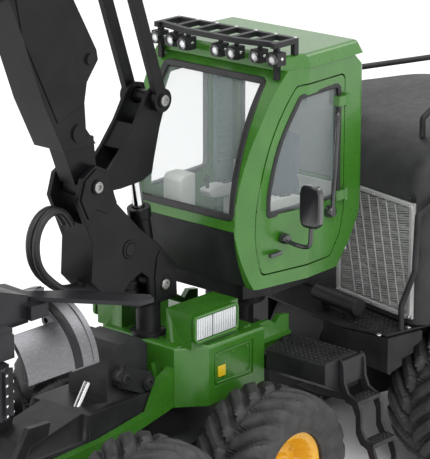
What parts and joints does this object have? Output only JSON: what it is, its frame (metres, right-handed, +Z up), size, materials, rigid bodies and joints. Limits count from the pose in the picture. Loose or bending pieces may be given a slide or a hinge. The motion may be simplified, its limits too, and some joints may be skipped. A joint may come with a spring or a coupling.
{
  "type": "forestry harvester scale model",
  "caption": "Scale model of an articulated cab-forward forestry harvester with rocking bogies, hollow turning cab and a parallel-link crane that carries a harvester head",
  "frame": {"origin": "on the floor under the middle of the model's box", "axes": "+X forward along the front frame, +Y to the machine's left, +Z up"},
  "size_m": [0.2635, 0.1136, 0.218],
  "materials": {
    "black_chassis": "satin moulded black",
    "green_paint": "gloss green enamel",
    "lamp_lens": "ribbed clear lens over silver",
    "clear_glass": "clear moulded glazing",
    "hood_grey": "satin dark grey",
    "grille_grey": "matt grey",
    "floor_grey": "matt light grey",
    "seat_blue": "matt dark blue",
    "crane_black": "satin black",
    "hose_rubber": "matt black",
    "rod_chrome": "polished",
    "head_black": "satin black",
    "knife_steel": "satin silver",
    "tyre_rubber": "moulded rubber",
    "rim_gold": "gloss golden yellow"
  },
  "bodies": {
    "front": {"front_frame": "black_chassis", "front_cowl": "green_paint", "headlamps": "lamp_lens", "step_boxes": "black_chassis", "access_ladder": "black_chassis", "crane_post": "black_chassis"},
    "rear": {"rear_frame": "black_chassis", "rear_deck": "black_chassis", "hood": "hood_grey", "radiator_grille": "grille_grey", "side_boxes": "black_chassis", "handrails": "black_chassis"},
    "cab": {"cab_shell": "green_paint", "cab_nose": "black_chassis", "cab_floor": "floor_grey", "cab_windows": "clear_glass", "cab_base": "black_chassis", "light_rack": "black_chassis", "seat": "seat_blue", "consoles": "floor_grey"},
    "cab_door": {"door": "green_paint", "door_window": "clear_glass", "door_fittings": "black_chassis"},
    "pillar": {"crane_pillar": "crane_black", "crane_hoses": "hose_rubber"},
    "boom": {"main_boom": "crane_black"},
    "link_lever": {"lever": "crane_black"},
    "bars": {"link_bars": "crane_black"},
    "barrel": {"lift_barrel": "crane_black"},
    "cylinder_rod": {"lift_rod": "rod_chrome"},
    "outer_jib": {"jib": "crane_black"},
    "inner_jib": {"jib_extension": "crane_black", "crosshead": "crane_black"},
    "turner": {"rotator": "crane_black"},
    "head": {"head_frame": "head_black"},
    "left_knife": {"knife_left": "knife_steel"},
    "right_knife": {"knife_right": "knife_steel"},
    "left_roller": {"roller_left": "head_black"},
    "right_roller": {"roller_right": "head_black"},
    "bogie_beam_front_left": {"bogie_front_left": "black_chassis"},
    "wheel_front_left_fore": {"tyre_front_left_fore": "tyre_rubber", "rim_front_left_fore": "rim_gold"},
    "wheel_front_left_aft": {"tyre_front_left_aft": "tyre_rubber", "rim_front_left_aft": "rim_gold"},
    "bogie_beam_front_right": {"bogie_front_right": "black_chassis"},
    "wheel_front_right_fore": {"tyre_front_right_fore": "tyre_rubber", "rim_front_right_fore": "rim_gold"},
    "wheel_front_right_aft": {"tyre_front_right_aft": "tyre_rubber", "rim_front_right_aft": "rim_gold"},
    "bogie_beam_rear_left": {"bogie_rear_left": "black_chassis"},
    "wheel_rear_left_fore": {"tyre_rear_left_fore": "tyre_rubber", "rim_rear_left_fore": "rim_gold"},
    "wheel_rear_left_aft": {"tyre_rear_left_aft": "tyre_rubber", "rim_rear_left_aft": "rim_gold"},
    "bogie_beam_rear_right": {"bogie_rear_right": "black_chassis"},
    "wheel_rear_right_fore": {"tyre_rear_right_fore": "tyre_rubber", "rim_rear_right_fore": "rim_gold"},
    "wheel_rear_right_aft": {"tyre_rear_right_aft": "tyre_rubber", "rim_rear_right_aft": "rim_gold"}
  },
  "joints": [
    {"name": "articulation", "type": "hinge", "parent": "front", "child": "rear", "pos_m": [-0.0122, -0.0108, 0.029], "axis": [0, 0, 1], "range_deg": [-13.8, 38.2]},
    {"name": "bogie_rock_front_left", "type": "hinge", "parent": "front", "child": "bogie_beam_front_left", "pos_m": [0.0488, 0.0082, 0.0225], "axis": [0, 1, 0], "range_deg": [-6, 6]},
    {"name": "spin_front_left_fore", "type": "hinge", "parent": "bogie_beam_front_left", "child": "wheel_front_left_fore", "pos_m": [0.0723, 0.0242, 0.021], "axis": [0, 1, 0], "continuous": true},
    {"name": "spin_front_left_aft", "type": "hinge", "parent": "bogie_beam_front_left", "child": "wheel_front_left_aft", "pos_m": [0.0253, 0.0242, 0.021], "axis": [0, 1, 0], "continuous": true},
    {"name": "bogie_rock_front_right", "type": "hinge", "parent": "front", "child": "bogie_beam_front_right", "pos_m": [0.0488, -0.0298, 0.0225], "axis": [0, 1, 0], "range_deg": [-6, 6]},
    {"name": "spin_front_right_fore", "type": "hinge", "parent": "bogie_beam_front_right", "child": "wheel_front_right_fore", "pos_m": [0.0723, -0.0458, 0.021], "axis": [0, 1, 0], "continuous": true},
    {"name": "spin_front_right_aft", "type": "hinge", "parent": "bogie_beam_front_right", "child": "wheel_front_right_aft", "pos_m": [0.0253, -0.0458, 0.021], "axis": [0, 1, 0], "continuous": true},
    {"name": "bogie_rock_rear_left", "type": "hinge", "parent": "rear", "child": "bogie_beam_rear_left", "pos_m": [-0.07465, 0.02214, 0.0225], "axis": [0.2113, 0.9774, 0], "range_deg": [-6, 6]},
    {"name": "spin_rear_left_fore", "type": "hinge", "parent": "bogie_beam_rear_left", "child": "wheel_rear_left_fore", "pos_m": [-0.0483, 0.03281, 0.021], "axis": [0.2113, 0.9774, 0], "continuous": true},
    {"name": "spin_rear_left_aft", "type": "hinge", "parent": "bogie_beam_rear_left", "child": "wheel_rear_left_aft", "pos_m": [-0.09424, 0.04275, 0.021], "axis": [0.2113, 0.9774, 0], "continuous": true},
    {"name": "bogie_rock_rear_right", "type": "hinge", "parent": "rear", "child": "bogie_beam_rear_right", "pos_m": [-0.08268, -0.015, 0.0225], "axis": [0.2113, 0.9774, 0], "range_deg": [-6, 6]},
    {"name": "spin_rear_right_fore", "type": "hinge", "parent": "bogie_beam_rear_right", "child": "wheel_rear_right_fore", "pos_m": [-0.06309, -0.03561, 0.021], "axis": [0.2113, 0.9774, 0], "continuous": true},
    {"name": "spin_rear_right_aft", "type": "hinge", "parent": "bogie_beam_rear_right", "child": "wheel_rear_right_aft", "pos_m": [-0.10903, -0.02567, 0.021], "axis": [0.2113, 0.9774, 0], "continuous": true},
    {"name": "cab_turn", "type": "hinge", "parent": "front", "child": "cab", "pos_m": [-0.0012, -0.0108, 0.056], "axis": [0, 0, 1], "range_deg": [-15, 15]},
    {"name": "door_swing", "type": "hinge", "parent": "cab", "child": "cab_door", "pos_m": [-0.0176, 0.0141, 0.095], "axis": [0, 0, 1], "range_deg": [0, 70]},
    {"name": "crane_slew", "type": "hinge", "parent": "front", "child": "pillar", "pos_m": [0.0338, -0.0108, 0.062], "axis": [0, 0, 1], "range_deg": [-75, 75]},
    {"name": "main_lift", "type": "hinge", "parent": "pillar", "child": "link_lever", "pos_m": [0.0584, -0.0108, 0.0976], "axis": [0, 1, 0], "range_deg": [-15, 10]},
    {"name": "boom_reach", "type": "hinge", "parent": "link_lever", "child": "boom", "pos_m": [0.0584, -0.0108, 0.0976], "axis": [0, 1, 0], "range_deg": [0, 40]},
    {"name": "jib_fold", "type": "hinge", "parent": "boom", "child": "outer_jib", "pos_m": [0.09224, -0.0108, 0.197], "axis": [0, -1, 0], "range_deg": [0, 40]},
    {"name": "bar_swing", "type": "hinge", "parent": "link_lever", "child": "bars", "pos_m": [0.0341, -0.0108, 0.1155], "axis": [0, 1, 0], "range_deg": [0, 40]},
    {"name": "barrel_swing", "type": "hinge", "parent": "pillar", "child": "barrel", "pos_m": [0.0335, -0.0108, 0.066], "axis": [0, 1, 0], "range_deg": [-0.9, 1.3]},
    {"name": "rod_slide", "type": "slide", "parent": "barrel", "child": "cylinder_rod", "axis": [0.1729, 0, 0.9849], "range_m": [-0.00512, 0.00348]},
    {"name": "extension_slide", "type": "slide", "parent": "outer_jib", "child": "inner_jib", "axis": [0.2761, 0, -0.9611], "range_m": [0, 0.026]},
    {"name": "rotator_turn", "type": "hinge", "parent": "inner_jib", "child": "turner", "pos_m": [0.1178, -0.0108, 0.095], "axis": [0, 0, -1], "range_deg": [0, 90]},
    {"name": "head_tilt", "type": "hinge", "parent": "turner", "child": "head", "pos_m": [0.1178, -0.0108, 0.084], "axis": [0, 1, 0], "range_deg": [0, 60]},
    {"name": "knife_open", "type": "hinge", "parent": "head", "child": "left_knife", "pos_m": [0.0738, -0.0028, 0.0682], "axis": [1, 0, 0], "range_deg": [0, 35]},
    {"name": "knife_open_right", "type": "hinge", "parent": "head", "child": "right_knife", "pos_m": [0.0738, -0.0188, 0.0682], "axis": [-1, 0, 0], "range_deg": [0, 35]},
    {"name": "roller_spin_left", "type": "hinge", "parent": "head", "child": "left_roller", "pos_m": [0.1018, 0.0016, 0.057], "axis": [0, 0, 1], "continuous": true},
    {"name": "roller_spin_right", "type": "hinge", "parent": "head", "child": "right_roller", "pos_m": [0.1018, -0.0232, 0.057], "axis": [0, 0, 1], "continuous": true}
  ],
  "couplings": [
    {"joint": "jib_fold", "follows": "boom_reach", "ratio": 1},
    {"joint": "bar_swing", "follows": "boom_reach", "ratio": 1},
    {"joint": "barrel_swing", "follows": "main_lift", "ratio": -0.07388},
    {"joint": "rod_slide", "follows": "main_lift", "m_per_rad": 0.018795},
    {"joint": "knife_open_right", "follows": "knife_open", "ratio": 1}
  ]
}
